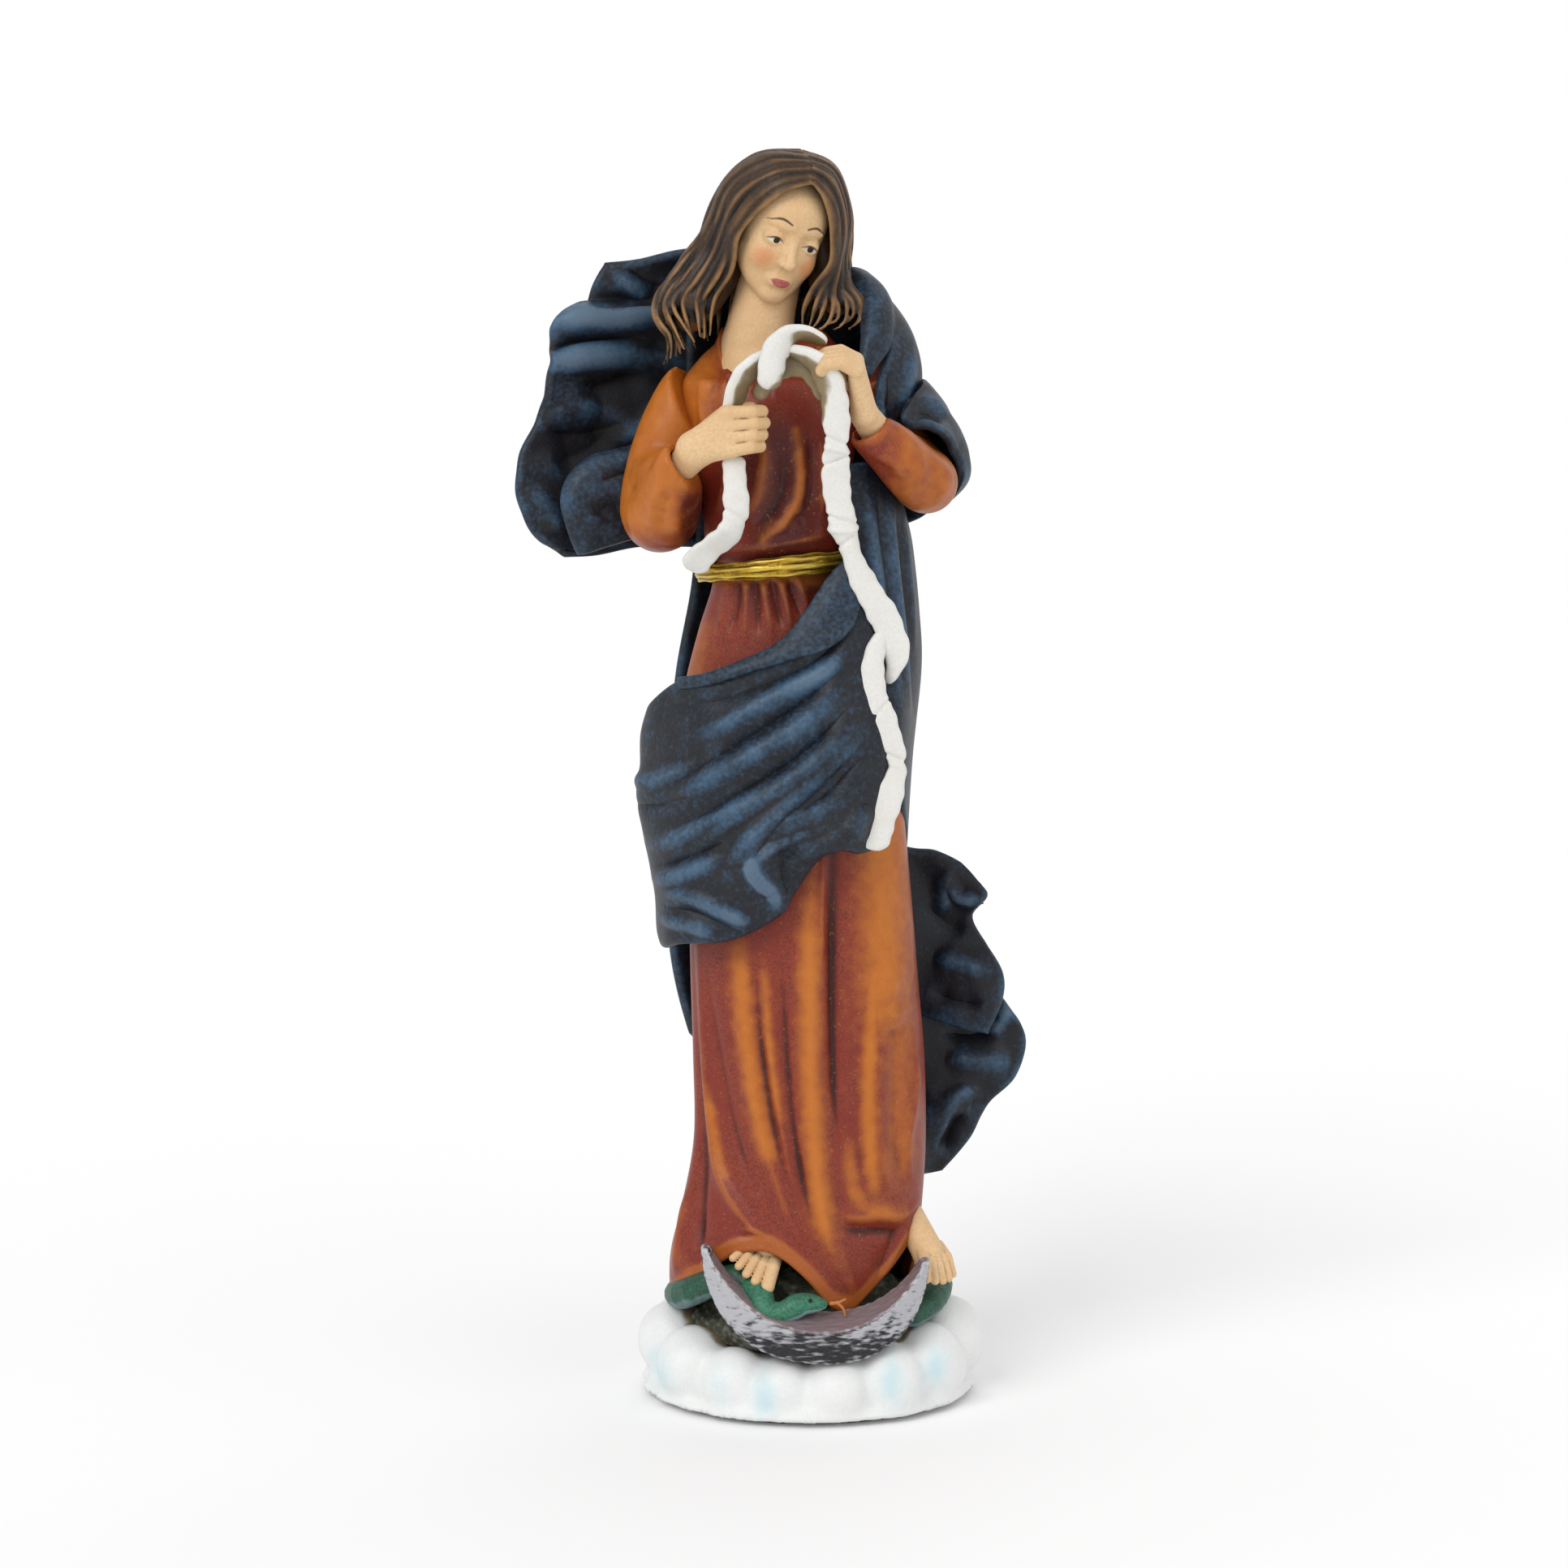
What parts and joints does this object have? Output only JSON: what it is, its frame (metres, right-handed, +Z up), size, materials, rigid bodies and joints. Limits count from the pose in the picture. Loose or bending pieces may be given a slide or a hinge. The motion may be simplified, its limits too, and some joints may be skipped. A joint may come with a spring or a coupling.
{
  "type": "madonna statue",
  "caption": "Standing hand-painted resin Madonna figurine in a robe and wind-blown mantle, holding a knotted ribbon, on a crescent moon, serpent and cloud base.",
  "frame": {"origin": "middle of the flat underside of the base", "axes": "+Z up along the figure, -Y the way the figure faces, +X towards the figure's left hand"},
  "size_m": [0.0867, 0.0524, 0.2101],
  "materials": {
    "robe_paint": "satin hand paint, brick red with orange dry-brush",
    "mantle_paint": "satin hand paint, blue-black with blue dry-brush",
    "skin_paint": "matt hand paint, warm cream with a brown wash",
    "hair_paint": "satin hand paint, dark brown with tan strands",
    "ribbon_paint": "satin hand paint, white with an olive-brown wash",
    "gold_paint": "metallic gold paint",
    "silver_paint": "silver dry-brush over near-black",
    "serpent_paint": "satin green hand paint",
    "tongue_paint": "orange-brown paint",
    "rock_paint": "matt olive-grey paint",
    "cloud_paint": "satin white with pale blue patches",
    "felt": "brown felt",
    "steel": "bright wire"
  },
  "bodies": {
    "root": {"base_pin": "steel", "neck_pin": "steel", "felt_pad": "felt", "cloud_base": "cloud_paint", "ground_mound": "rock_paint", "crescent_moon": "silver_paint", "serpent_body": "serpent_paint", "serpent_tail": "serpent_paint", "serpent_head": "serpent_paint", "serpent_tongue": "tongue_paint", "right_foot": "skin_paint", "left_foot": "skin_paint", "skirt": "robe_paint", "bodice": "robe_paint", "right_sleeve": "robe_paint", "left_sleeve": "robe_paint", "belt": "gold_paint", "right_hand": "skin_paint", "left_hand": "skin_paint", "head": "skin_paint", "hair_cap": "hair_paint", "hair_right_side": "hair_paint", "hair_left_side": "hair_paint", "hair_back": "hair_paint", "ribbon_tail_right": "ribbon_paint", "ribbon_loop": "ribbon_paint", "ribbon_fall": "ribbon_paint", "ribbon_tail_left": "ribbon_paint", "ribbon_knot_upper": "ribbon_paint", "ribbon_knot_lower": "ribbon_paint", "mantle_back": "mantle_paint", "mantle_wing": "mantle_paint", "mantle_wing_fold": "mantle_paint", "mantle_shoulder": "mantle_paint", "mantle_elbow": "mantle_paint", "mantle_side": "mantle_paint", "mantle_swag": "mantle_paint", "mantle_tail": "mantle_paint"}
  },
  "joints": []
}
